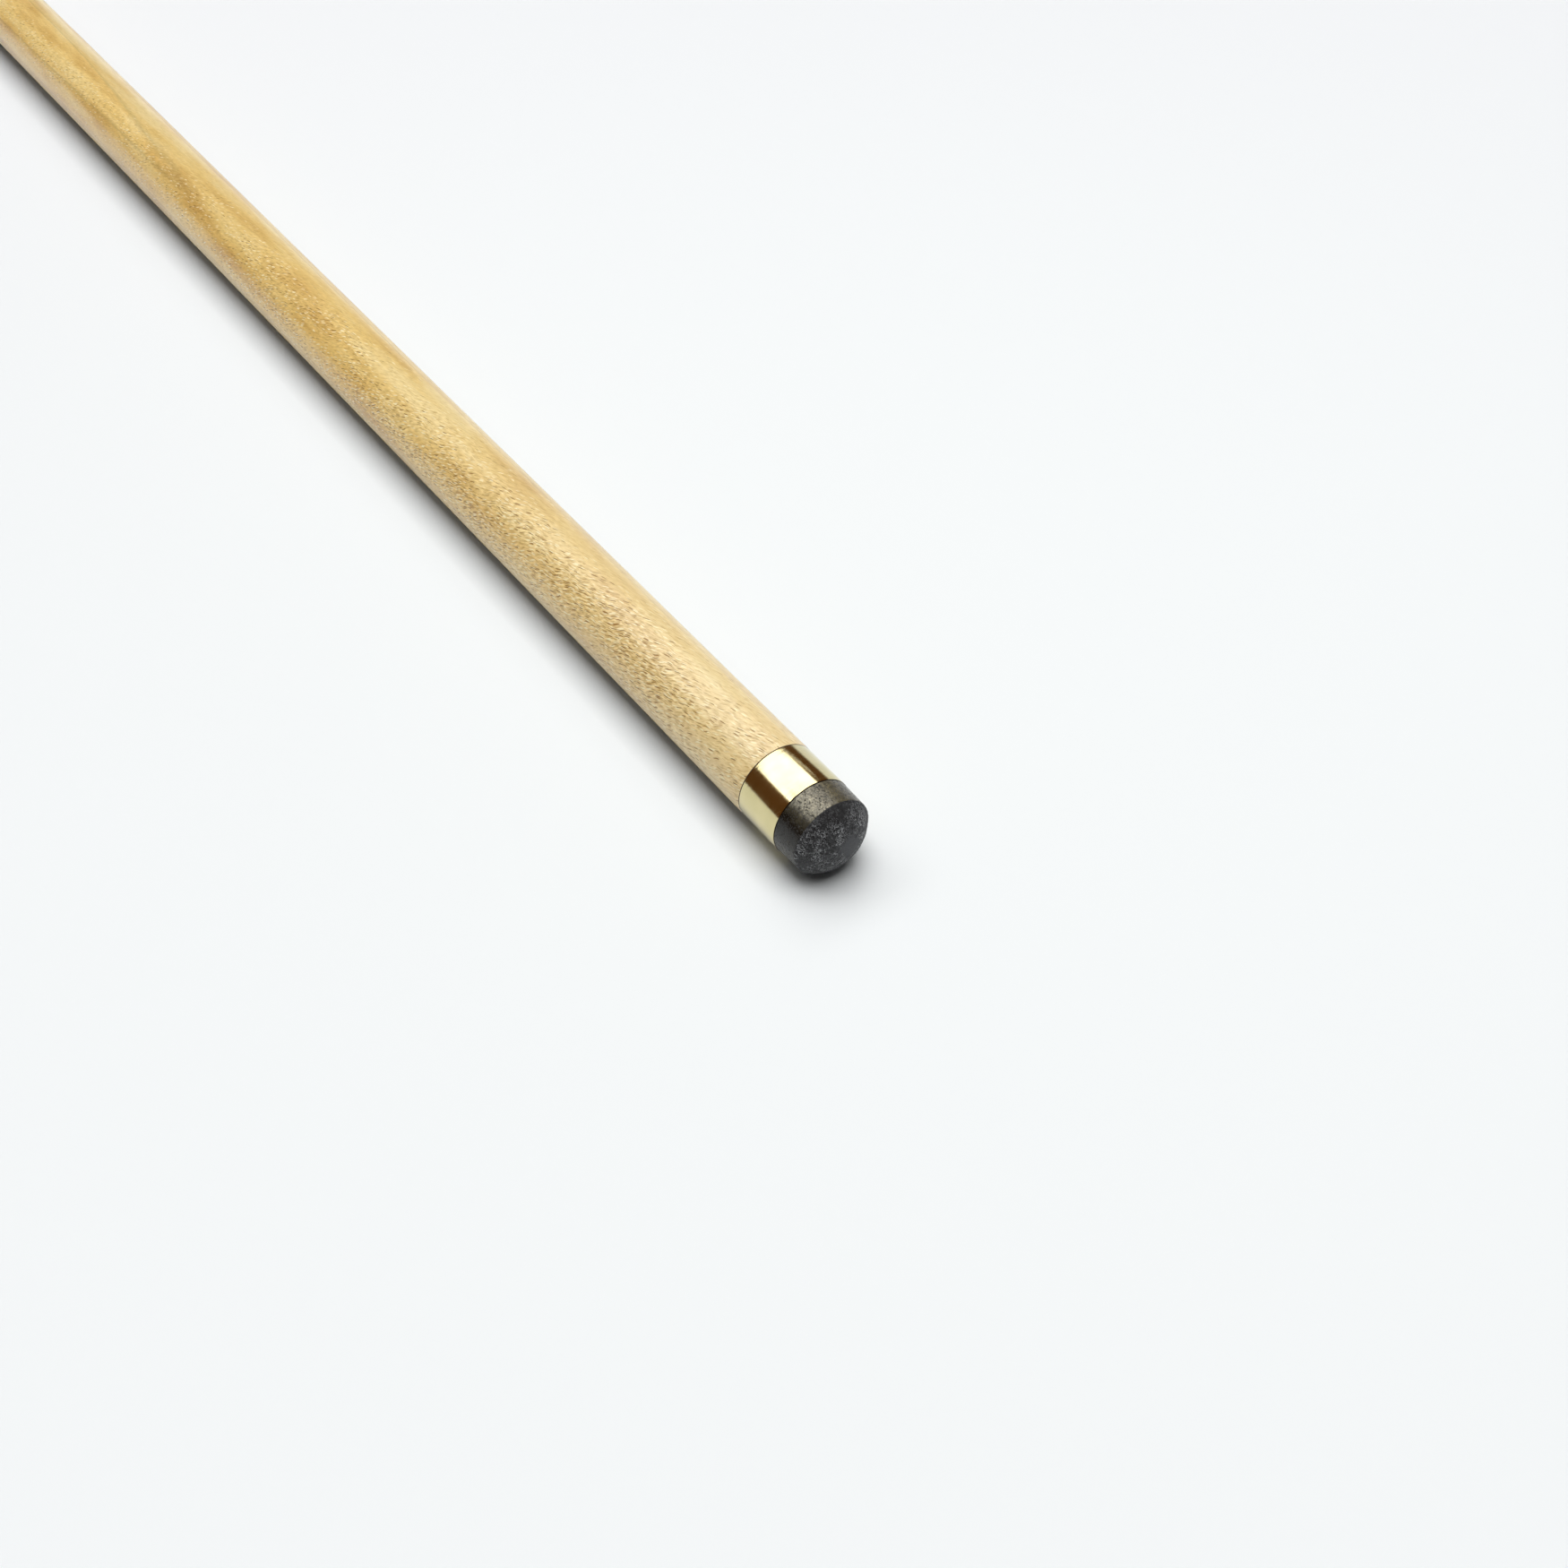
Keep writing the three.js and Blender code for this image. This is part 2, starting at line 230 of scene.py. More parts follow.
def rounded(corners, steps=ROUND_STEPS):
    """Points (place, radius) of an outline whose corners (place, radius, round) are rounded."""
    points = []
    for index, (place, radius, size) in enumerate(corners):
        here = Vector((place, radius))
        if not size or index in (0, len(corners) - 1):
            points.append((place, radius))
            continue
        before = Vector(corners[index - 1][:2]) - here
        after = Vector(corners[index + 1][:2]) - here
        start = here + before.normalized() * min(size, before.length / 2)
        end = here + after.normalized() * min(size, after.length / 2)
        for step in range(steps + 1):
            s = step / steps
            spot = start * (1 - s) ** 2 + here * 2 * s * (1 - s) + end * s ** 2
            points.append((spot.x, spot.y))
    return points


def divided(points, step):
    """The outline with no stretch longer than a step."""
    result = [points[0]]
    for before, after in zip(points, points[1:]):
        count = max(1, math.ceil(math.dist(before, after) / step))
        for i in range(1, count + 1):
            s = i / count
            result.append(tuple(a + (b - a) * s for a, b in zip(before, after)))
    return result


def turned(name, outline, node, body, material, segments=FINE_SEGMENTS, shape=None, tube=False):
    """A turned piece that stands for a CAD node. shape may move a point (place, radius, angle)."""
    angles = np.arange(segments) * 2 * math.pi / segments
    vertices = []
    rows = []
    for place, radius in outline:
        if radius < ON_AXIS:
            rows.append([len(vertices)] * segments)
            vertices.append((place, 0, 0))
            continue
        rows.append(list(range(len(vertices), len(vertices) + segments)))
        for angle in angles:
            p, r = shape(place, radius, angle) if shape else (place, radius)
            vertices.append((p, r * math.cos(angle), r * math.sin(angle)))
    if tube:
        rows.append(rows[0])
    faces = []
    for low, high in zip(rows, rows[1:]):
        for i in range(segments):
            j = (i + 1) % segments
            corners = [low[i], low[j], high[j], high[i]]
            faces.append([c for k, c in enumerate(corners) if c != corners[k - 1]])
    mesh = bpy.data.meshes.new(name)
    mesh.from_pydata([BUTT_END + CUE_AXES @ Vector(v) for v in vertices], [], faces)
    mesh.validate()
    mesh.polygons.foreach_set("use_smooth", [True] * len(mesh.polygons))
    mesh.set_sharp_from_angle(angle=SHARP_ANGLE)
    mesh.materials.append(material)
    piece = bpy.data.objects.new(name, mesh)
    bpy.context.scene.collection.objects.link(piece)
    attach(piece, body)
    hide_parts(node)
    return piece


# Node building. A value given to these functions is a number, a colour or another node's socket.

NOISE_MIDDLE = 0.5


def feed(tree, socket, value):
    """Links an input to another node's socket, or sets its value."""
    if isinstance(value, bpy.types.NodeSocket):
        tree.links.new(value, socket)
    else:
        socket.default_value = value


def add(tree, kind, inputs=None, **settings):
    """A node with its settings and inputs."""
    made = tree.nodes.new(kind)
    for name, value in settings.items():
        setattr(made, name, value)
    for key, value in (inputs or {}).items():
        feed(tree, made.inputs[key], value)
    return made


def calculate(tree, operation, *values, use_clamp=False):
    """The result of a calculation with numbers."""
    inputs = dict(enumerate(values))
    return add(tree, "ShaderNodeMath", inputs, operation=operation, use_clamp=use_clamp).outputs[0]


def vector(tree, operation, *values):
    """The result of a vector calculation, which is a number for LENGTH."""
    made = add(tree, "ShaderNodeVectorMath", dict(enumerate(values)), operation=operation)
    return made.outputs["Value" if operation == "LENGTH" else "Vector"]


def split(tree, place):
    """The parts X, Y and Z of a place."""
    return add(tree, "ShaderNodeSeparateXYZ", {0: place}).outputs


def ramp(tree, value, *stops):
    """A colour ramp through stops (position, colour or grey level)."""
    made = add(tree, "ShaderNodeValToRGB", {"Fac": value})
    elements = made.color_ramp.elements
    while len(elements) < len(stops):
        elements.new(1.0)
    for element, (position, color) in zip(elements, stops):
        element.position = position
        element.color = color if isinstance(color, tuple) else (color, color, color, 1)
    return made.outputs["Color"]


def between(tree, value, start, end, low=0.0, high=1.0, **settings):
    """low to high as the value goes from start to end."""
    inputs = {"Value": value, "From Min": start, "From Max": end, "To Min": low, "To Max": high}
    return add(tree, "ShaderNodeMapRange", inputs, **settings).outputs[0]


def blended(tree, factor, first, second, mode="MIX"):
    """The second colour over the first one."""
    inputs = {0: factor, 6: first, 7: second}
    made = add(tree, "ShaderNodeMix", data_type="RGBA", blend_type=mode, clamp_result=False, inputs=inputs)
    return made.outputs[2]


def stretched(tree, place, scale, offset=(0, 0, 0), turn=0.0):
    """A place scaled, turned about Z and moved."""
    inputs = {"Vector": place, "Scale": scale, "Location": offset, "Rotation": (0, 0, turn)}
    return add(tree, "ShaderNodeMapping", inputs).outputs[0]


def clouds(tree, place, scale=1.0, detail=2.0, roughness=0.5):
    """Noise from 0 to 1, mostly near its middle."""
    inputs = {"Vector": place, "Scale": scale, "Detail": detail, "Roughness": roughness}
    return add(tree, "ShaderNodeTexNoise", inputs).outputs["Fac"]


def swayed(tree, place, scale, amount):
    """A place moved to and fro by slow noise."""
    inputs = {"Vector": stretched(tree, place, scale), "Scale": 1.0, "Detail": 2.0}
    sway = add(tree, "ShaderNodeTexNoise", inputs).outputs["Color"]
    return vector(tree, "MULTIPLY_ADD", vector(tree, "SUBTRACT", sway, (NOISE_MIDDLE,) * 3), amount, place)


def bumped(tree, height, distance, strength=1.0):
    """The normals of a surface with this relief."""
    inputs = {"Height": height, "Distance": distance, "Strength": strength}
    return add(tree, "ShaderNodeBump", inputs).outputs[0]


def cue_coordinates(tree, turn=0.0):
    """Place along the cue, and two places across it turned about its axis, in millimetres."""
    axes = Matrix.Rotation(-turn, 3, "X") @ CUE_AXES.transposed()
    inputs = {
        "Vector": tree.nodes.new("ShaderNodeTexCoord").outputs["Object"],
        "Location": -(axes * (1 / MM) @ BUTT_END),
        "Rotation": axes.to_euler("XYZ"),
        "Scale": (1 / MM,) * 3,
    }
    return add(tree, "ShaderNodeMapping", inputs).outputs[0]


def facing(tree, side):
    """Cue coordinates whose Z points to the side that is given as an angle round the cue."""
    return cue_coordinates(tree, side - math.pi / 2)


def off_axis(tree, place):
    """The distance of a place in cue coordinates from the cue's axis."""
    return vector(tree, "LENGTH", vector(tree, "MULTIPLY", place, (0.0, 1.0, 1.0)))


def wrapped(tree, place):
    """Place along the cue, arc round it from the top of the turned frame, and distance from its axis."""
    parts = split(tree, place)
    radius = off_axis(tree, place)
    arc = calculate(tree, "MULTIPLY", calculate(tree, "ARCTAN2", parts["Y"], parts["Z"]), radius)
    return add(tree, "ShaderNodeCombineXYZ", {"X": parts["X"], "Y": arc, "Z": radius}).outputs[0]


def near_ends(tree, along, ends, width):
    """1 within a width of one of the places along the cue, 0 elsewhere. All in millimetres."""
    total = 0.0
    for end in ends:
        off = calculate(tree, "ABSOLUTE", calculate(tree, "SUBTRACT", along, end))
        total = calculate(tree, "ADD", calculate(tree, "LESS_THAN", off, width), total)
    return total


SHADER_INPUTS = {
    "color": "Base Color", "roughness": "Roughness", "normal": "Normal", "coat_normal": "Coat Normal",
    "metallic": "Metallic", "coat": "Coat Weight", "coat_roughness": "Coat Roughness",
    "specular": "Specular IOR Level",
}


def connect(tree, shader, **inputs):
    """Sets or links the shader's inputs, under their short names."""
    for key, value in inputs.items():
        feed(tree, shader.inputs[SHADER_INPUTS[key]], value)


def new_material(name):
    """A material, its tree and its shader, which is connected to the output."""
    material = bpy.data.materials.new(name)
    material.use_nodes = True
    tree = material.node_tree
    tree.nodes.clear()
    output = tree.nodes.new("ShaderNodeOutputMaterial")
    shader = tree.nodes.new("ShaderNodeBsdfPrincipled")
    tree.links.new(shader.outputs[0], output.inputs["Surface"])
    return material, tree, shader


# Materials. Colours are linear. Scales are in noise cells a millimetre along the cue and in the two
# other directions, and amounts say how far a place is swayed, in millimetres. TONES are the stops of
# a ramp, and SHARE says how much of a layer shows.

FLAT_SAWN_SIDE = math.radians(115)  # of the side that the growth rings lie flat under
RING_WIDTH = 2.9  # millimetres
RING_OFFSET = 41.1  # places the rings, in millimetres from the cue's axis
RING_BOW = {"scale": (0.006, 0.10, 0.10), "amount": (0.0, 1.0, 3.4)}
RING_WAVE = {"scale": (0.25, 0.8, 0.8), "amount": (0.0, 0.0, 0.16)}
RING_TONES = ((0.0, 0.82), (0.035, 1.06), (0.45, 1.03), (0.93, 0.93), (0.985, 0.68), (1.0, 0.82))
RING_SHARE = 0.6
FIGURE_SCALE = (0.035, 0.30, 0.2)
FIGURE_TONES = (
    (0.34, (0.69, 0.425, 0.115, 1)), (0.50, (0.85, 0.60, 0.21, 1)), (0.64, (0.91, 0.70, 0.31, 1)),
)
FIBRE_SCALE = (0.30, 6.0, 1.0)
FIBRE_TONES = ((0.25, 0.86), (0.75, 1.14))
FIBRE_SHARE = 0.5
FLECK_AND_PAINTED_LIGHT_SIDE = math.radians(140)  # of the side where the rays' ends are densest, which is also painted lighter, with its far side
FLECKED_TONES = ((0.45, 0.15), (0.80, 0.60), (0.97, 1.0))
# Painted light and shade round the shaft: lighter towards the side where the flecks are densest and its far
# side, darker at right angles to it.
PAINTED_LIGHT_SIDE_TONES = ((0.35, 0.90), (0.90, 1.0), (1.0, 1.03))
WARM_SHADE_SIDE = math.radians(160)  # of the side, low on the right, that is tinted darker and warmer as painted shade
WARM_SHADE_TONES = ((0.84, 0.0), (0.96, 1.0))
WARM_SHADE_TINT = (0.99, 0.93, 0.80, 1)
PATCH_SCALE = (0.05, 0.22, 0.0)
PATCH_OFFSET = (3.0, 1.7, 0.0)
PATCH_TONES = ((0.34, 0.35), (0.58, 1.0))
FLECK_FADE = (190.0, 40.0)  # millimetres behind the ferrule between which the flecks grow to full
FLECK_LEAST = 0.28  # what is left of them further back
PAINTED_SHEEN_FRONT = (95.0, 5.0)  # millimetres behind the ferrule between which a painted sheen grows: the wood is whitened where the lamps' highlight lies on the varnish
PAINTED_SHEEN_SHARE = 0.5
PAINTED_SHEEN_COLOR = (0.90, 0.76, 0.47, 1)
GRAIN_BEND = {"scale": (0.24, 0.50, 0.0), "amount": (0.0, 1.1, 0.0)}
GRAIN_SHAKE = {"scale": (0.9, 1.6, 0.0), "amount": (0.30, 0.26, 0.0)}
STROKE_TILT = math.radians(-17)  # of the rays' ends against the cue's length
STROKE_SCALE = (0.85, 4.4, 0.0)
STROKE_TONES = (
    (0.35, (0.66, 0.54, 0.36, 1)), (0.46, (0.95, 0.92, 0.86, 1)), (0.54, (1.03, 1.03, 1.03, 1)),
    (0.66, (1.22, 1.27, 1.36, 1)),
)
STROKE_SHARE = (0.8, 0.2)  # the part that goes with the flecks' strength, and the rest
FLECK_EDGE = ((0.55, 1.0), (1.0, 0.0))
FLECK_CHANCE = ((0.48, 0.0), (0.60, 1.0))
SEED_SPREAD = 2.3  # keeps the seeds' places apart in both directions
COARSE_FLECKS = {"cell": (1.20, 0.34), "size": (1.15, 0.13), "seed": 3.1}
COARSE_FLECK_COLOR = (0.32, 0.145, 0.016, 1)
COARSE_FLECK_STRENGTH = 0.75
COARSE_FLECK_SHARE = 0.95
FINE_FLECKS = {"cell": (0.80, 0.24), "size": (0.80, 0.12), "seed": 8.7}
FINE_FLECK_COLOR = (0.52, 0.29, 0.06, 1)
FINE_FLECK_SHARE = 0.55
# Painted glints: pale dashes along the grain that stand in for small highlights on the varnish.
PAINTED_GLINTS = {"cell": (1.10, 0.32), "size": (1.05, 0.15), "seed": 5.3}
PAINTED_GLINT_COLOR = (1.0, 0.88, 0.56, 1)
PAINTED_GLINT_SHARE = 0.9
WOOD_SEAM_GLUE_AND_SHADE_COLOR = (0.10, 0.05, 0.02, 1)
WOOD_RELIEF = 0.06 * MM
VARNISH_RELIEF = 0.02 * MM
STROKE_HEIGHT = 1.2
COARSE_FLECK_HEIGHT = -0.5


def flecks(tree, grain, share, cell, size, seed):
    """Short ends of the wood's rays, and pale painted glints, at most one to a cell: 1 on a fleck, 0
    elsewhere. Lengths in mm.
    """
    spots = stretched(tree, grain, (1 / cell[0], 1 / cell[1], 0), (seed, seed * SEED_SPREAD, 0))
    inputs = {"Vector": spots, "Scale": 1.0, "Randomness": 1.0}
    cells = add(tree, "ShaderNodeTexVoronoi", inputs, voronoi_dimensions="2D").outputs
    off = vector(tree, "SUBTRACT", spots, cells["Position"])
    shape = vector(tree, "MULTIPLY", off, (cell[0] / size[0] * 2, cell[1] / size[1] * 2, 0))
    inside = ramp(tree, vector(tree, "LENGTH", shape), *FLECK_EDGE)
    # A cell keeps its fleck where the mean of its own chance and the share is high enough.
    chance = add(tree, "ShaderNodeSeparateColor", {0: cells["Color"]}).outputs[0]
    kept = calculate(tree, "MULTIPLY", calculate(tree, "ADD", chance, share), 0.5)
    return calculate(tree, "MULTIPLY", inside, ramp(tree, kept, *FLECK_CHANCE))


def maple(name, ends=()):
    """Pale wood under varnish: growth rings, and flecks where the rays end on the surface. Painted light in
    its colour: a sheen towards the ferrule, glints, lighter and darker sides, and shade low on the right.
    """
    material, tree, shader = new_material(name)
    straight = facing(tree, FLAT_SAWN_SIDE)
    skin = wrapped(tree, straight)
    along = split(tree, straight)["X"]

    figure = clouds(tree, stretched(tree, skin, FIGURE_SCALE), detail=3.0, roughness=0.60)
    color = ramp(tree, figure, *FIGURE_TONES)
    fibres = clouds(tree, stretched(tree, skin, FIBRE_SCALE), detail=3.0, roughness=0.65)
    color = blended(tree, FIBRE_SHARE, color, ramp(tree, fibres, *FIBRE_TONES), "MULTIPLY")

    bowed = swayed(tree, straight, **RING_BOW)
    depth = split(tree, swayed(tree, bowed, **RING_WAVE))["Z"]
    depth = calculate(tree, "ADD", depth, RING_OFFSET)
    year = calculate(tree, "FRACT", calculate(tree, "DIVIDE", depth, RING_WIDTH))
    color = blended(tree, RING_SHARE, color, ramp(tree, year, *RING_TONES), "MULTIPLY")

    patches = clouds(tree, stretched(tree, skin, PATCH_SCALE, PATCH_OFFSET), detail=2.0)
    patches = ramp(tree, patches, *PATCH_TONES)
    front = reach("ferrule")[0] / MM
    fade = between(tree, along, front - FLECK_FADE[0], front - FLECK_FADE[1], FLECK_LEAST, 1.0)
    fleck_and_lit_side = facing(tree, FLECK_AND_PAINTED_LIGHT_SIDE)
    radius = off_axis(tree, fleck_and_lit_side)
    fleck_and_lit_side = calculate(tree, "ABSOLUTE", calculate(tree, "DIVIDE", split(tree, fleck_and_lit_side)["Z"], radius))
    # Painted light and shade: lighter towards the side where the flecks are densest and its far side, darker
    # between.
    color = blended(tree, 1.0, color, ramp(tree, fleck_and_lit_side, *PAINTED_LIGHT_SIDE_TONES), "MULTIPLY")
    # Painted shade: the side low on the right is tinted darker and warmer.
    warm = calculate(tree, "DIVIDE", split(tree, facing(tree, WARM_SHADE_SIDE))["Z"], radius)
    color = blended(tree, ramp(tree, warm, *WARM_SHADE_TONES), color, WARM_SHADE_TINT, "MULTIPLY")
    strength = calculate(tree, "MULTIPLY", patches, fade)
    strength = calculate(tree, "MULTIPLY", strength, ramp(tree, fleck_and_lit_side, *FLECKED_TONES))
    # Painted sheen: the wood is whitened towards the ferrule, standing in for the lamps' highlight on the
    # varnish.
    pale = between(tree, along, front - PAINTED_SHEEN_FRONT[0], front - PAINTED_SHEEN_FRONT[1], 0.0, PAINTED_SHEEN_SHARE)
    color = blended(tree, pale, color, PAINTED_SHEEN_COLOR)

    grain = swayed(tree, skin, **GRAIN_BEND)
    grain = stretched(tree, grain, (1.0, 1.0, 0.0), turn=STROKE_TILT)
    grain = swayed(tree, grain, **GRAIN_SHAKE)
    strokes = clouds(tree, stretched(tree, grain, STROKE_SCALE), detail=2.0, roughness=0.55)
    share = calculate(tree, "MULTIPLY_ADD", strength, *STROKE_SHARE)
    color = blended(tree, share, color, ramp(tree, strokes, *STROKE_TONES), "MULTIPLY")
    fewer = calculate(tree, "MULTIPLY", strength, COARSE_FLECK_STRENGTH)
    coarse = flecks(tree, grain, fewer, **COARSE_FLECKS)
    fine = flecks(tree, grain, strength, **FINE_FLECKS)
    glints = flecks(tree, grain, strength, **PAINTED_GLINTS)
    # Painted glints: pale marks standing in for small highlights.
    color = blended(tree, calculate(tree, "MULTIPLY", glints, PAINTED_GLINT_SHARE), color, PAINTED_GLINT_COLOR)
    color = blended(tree, calculate(tree, "MULTIPLY", fine, FINE_FLECK_SHARE), color, FINE_FLECK_COLOR)
    color = blended(tree, calculate(tree, "MULTIPLY", coarse, COARSE_FLECK_SHARE), color, COARSE_FLECK_COLOR)
    # Dark seam line: glue and grime, with painted shade of the narrow gap.
    color = blended(tree, near_ends(tree, along, ends, SEAM_REACH / MM), color, WOOD_SEAM_GLUE_AND_SHADE_COLOR)

    height = calculate(tree, "MULTIPLY", coarse, COARSE_FLECK_HEIGHT)
    height = calculate(tree, "MULTIPLY_ADD", strokes, STROKE_HEIGHT, height)
    relief = bumped(tree, height, WOOD_RELIEF)
    varnish = bumped(tree, height, VARNISH_RELIEF)
    connect(tree, shader, color=color, roughness=0.55, specular=0.2, normal=relief, coat=0.75,
            coat_roughness=0.20, coat_normal=varnish)
    return material


BRASS_MARK_SCALE = (22.0, 0.10, 0.10)
BRASS_MARK_HEIGHT = 0.25
BRASS_COMB_SCALE = (4.5, 0.35, 0.35)
BRASS_COMB_REACH = (0.3, 0.7)
BRASS_TONES = ((0.3, (0.62, 0.55, 0.29, 1)), (0.7, (0.68, 0.60, 0.33, 1)))
BRASS_ROUGHNESS = (0.10, 0.17)
BRASS_SEAM_GLUE_AND_SHADE_COLOR = (0.05, 0.035, 0.015, 1)
BRASS_RELIEF = 0.007 * MM


def brass(name, ends=()):
    """Turned and lacquered brass: fine marks run round the cue."""
    material, tree, shader = new_material(name)
    place = cue_coordinates(tree)
    marks = clouds(tree, stretched(tree, place, BRASS_MARK_SCALE), detail=3.0, roughness=0.7)
    combs = clouds(tree, stretched(tree, place, BRASS_COMB_SCALE), detail=3.0, roughness=0.6)
    smudges = clouds(tree, place, scale=0.6, detail=3.0)
    color = ramp(tree, smudges, *BRASS_TONES)
    # Dark seam line: glue and grime, with painted shade of the narrow gap.
    seam_glue_and_shade = near_ends(tree, split(tree, place)["X"], ends, SEAM_LINE / MM)
    color = blended(tree, seam_glue_and_shade, color, BRASS_SEAM_GLUE_AND_SHADE_COLOR)
    rough = between(tree, combs, *BRASS_COMB_REACH, *BRASS_ROUGHNESS)
    relief = bumped(tree, calculate(tree, "MULTIPLY_ADD", marks, BRASS_MARK_HEIGHT, combs), BRASS_RELIEF)
    connect(tree, shader, color=color, metallic=1.0, roughness=rough, normal=relief, coat=0.3,
            coat_roughness=0.08)
    return material


SHEEN_PAINTED_SIDE = math.radians(108)  # of the side where the painted sheen is palest: a highlight painted into the leather's colour
SHEEN_PAINTED_SWAY = {"scale": (0.8, 0.8, 0.8), "amount": (0.0, 1.2, 1.2)}
SHEEN_PAINTED_TONES = (  # round the tip, with the painted sheen's palest side in the middle
    (0.25, (0.012, 0.011, 0.007, 1)), (0.40, (0.006, 0.005, 0.003, 1)), (0.44, (0.05, 0.045, 0.03, 1)),
    (0.47, (0.19, 0.175, 0.125, 1)), (0.51, (0.26, 0.235, 0.165, 1)), (0.545, (0.13, 0.115, 0.075, 1)),
    (0.62, (0.075, 0.065, 0.04, 1)), (0.80, (0.012, 0.011, 0.007, 1)),
)
SIDE_MOTTLE_TONES = ((0.34, 0.55), (0.66, 1.45))
SIDE_MOTTLE_SHARE = 0.9
SIDE_MOTTLE_HEIGHT = 0.5
PORE_SWAY = {"scale": (1.5, 1.5, 1.5), "amount": (0.3, 0.3, 0.3)}
FLAKE_TONES = ((0.57, 0.0), (0.65, 1.0))
FLAKE_SHARE = 0.7
FLAKE_TINT = (2.0, 1.95, 1.8, 1)
PIT_TONES = ((0.35, 1.0), (0.42, 0.0))
PIT_SHARE = 0.85
PIT_COLOR = (0.014, 0.012, 0.009, 1)
PIT_HEIGHT = -1.0
SIDE_ROUGHNESS = (0.24, 0.6)  # outside the pits, and in them
LEATHER_SEAM_GLUE_AND_SHADE_COLOR = (0.006, 0.005, 0.004, 1)
SIDE_LEATHER_RELIEF = 0.05 * MM


def leather_side():
    """The tip's side: dark taupe leather with pores and lighter flakes, and a painted sheen round its upper
    side where the lamps' highlight falls.
    """
    material, tree, shader = new_material("leather_painted_sheen")
    place = cue_coordinates(tree)
    mottle = clouds(tree, place, scale=2.0, detail=4.0, roughness=0.65)
    pores = clouds(tree, swayed(tree, place, **PORE_SWAY), scale=5.0, detail=2.0, roughness=0.55)
    # Painted sheen: a pale taupe band round the upper side stands in for the lamps' highlight.
    skin = split(tree, wrapped(tree, swayed(tree, facing(tree, SHEEN_PAINTED_SIDE), **SHEEN_PAINTED_SWAY)))
    around = calculate(tree, "DIVIDE", calculate(tree, "DIVIDE", skin["Y"], skin["Z"]), 2 * math.pi)
    color = ramp(tree, calculate(tree, "ADD", around, 0.5), *SHEEN_PAINTED_TONES)
    color = blended(tree, SIDE_MOTTLE_SHARE, color, ramp(tree, mottle, *SIDE_MOTTLE_TONES), "MULTIPLY")
    flakes = calculate(tree, "MULTIPLY", ramp(tree, pores, *FLAKE_TONES), FLAKE_SHARE)
    color = blended(tree, flakes, color, FLAKE_TINT, "MULTIPLY")
    pits = ramp(tree, pores, *PIT_TONES)
    color = blended(tree, calculate(tree, "MULTIPLY", pits, PIT_SHARE), color, PIT_COLOR)
    # Dark seam line: glue and grime, with painted shade of the narrow gap.
    seam = near_ends(tree, split(tree, place)["X"], (reach("ferrule")[1] / MM,), SEAM_REACH / MM)
    color = blended(tree, seam, color, LEATHER_SEAM_GLUE_AND_SHADE_COLOR)
    height = calculate(tree, "MULTIPLY", pits, PIT_HEIGHT)
    height = calculate(tree, "MULTIPLY_ADD", mottle, SIDE_MOTTLE_HEIGHT, height)
    rough = between(tree, pits, 0.0, 1.0, *SIDE_ROUGHNESS)
    connect(tree, shader, color=color, roughness=rough, normal=bumped(tree, height, SIDE_LEATHER_RELIEF),
            specular=0.4)
    return material


DOME_TONES = ((0.38, (0.006, 0.006, 0.007, 1)), (0.62, (0.040, 0.041, 0.044, 1)))
CHALK_LEAN = -0.7  # of the line across the dome along which its ground changes
CHALK_REACH = (-4.5, 3.6)  # millimetres across that line
CHALK = (2.1, 0.45)  # the ground's levels at its two ends
THREAD_SWAY = {"scale": (2.0, 2.0, 2.0), "amount": (0.6, 0.6, 0.6)}
THREAD_TONES = ((0.012, 0.8), (0.042, 0.0))
DUST_TONES = ((0.59, 0.0), (0.64, 1.0))
COVER_TONES = ((0.44, 0.10), (0.58, 1.0))
WORN_SPOT = (0.0, 0.7, 0.2)  # the smooth patch on the dome, in mm left of and above the axis
WORN_RADIUS = 3.0
WORN_SWAY = {"scale": (0.9, 0.9, 0.9), "amount": (0.0, 2.0, 2.0)}
WORN_TONES = ((0.30, 0.85), (0.55, 0.0))
WORN_COLOR = (0.078, 0.081, 0.086, 1)
TOP_HEIGHT = 5.0  # millimetres above the axis that the top's stops count in
TOP_TONES = ((0.50, 1.0), (0.80, 0.12))
SCUFF_COLOR = (0.60, 0.61, 0.62, 1)
DOME_LEATHER_RELIEF = 0.10 * MM


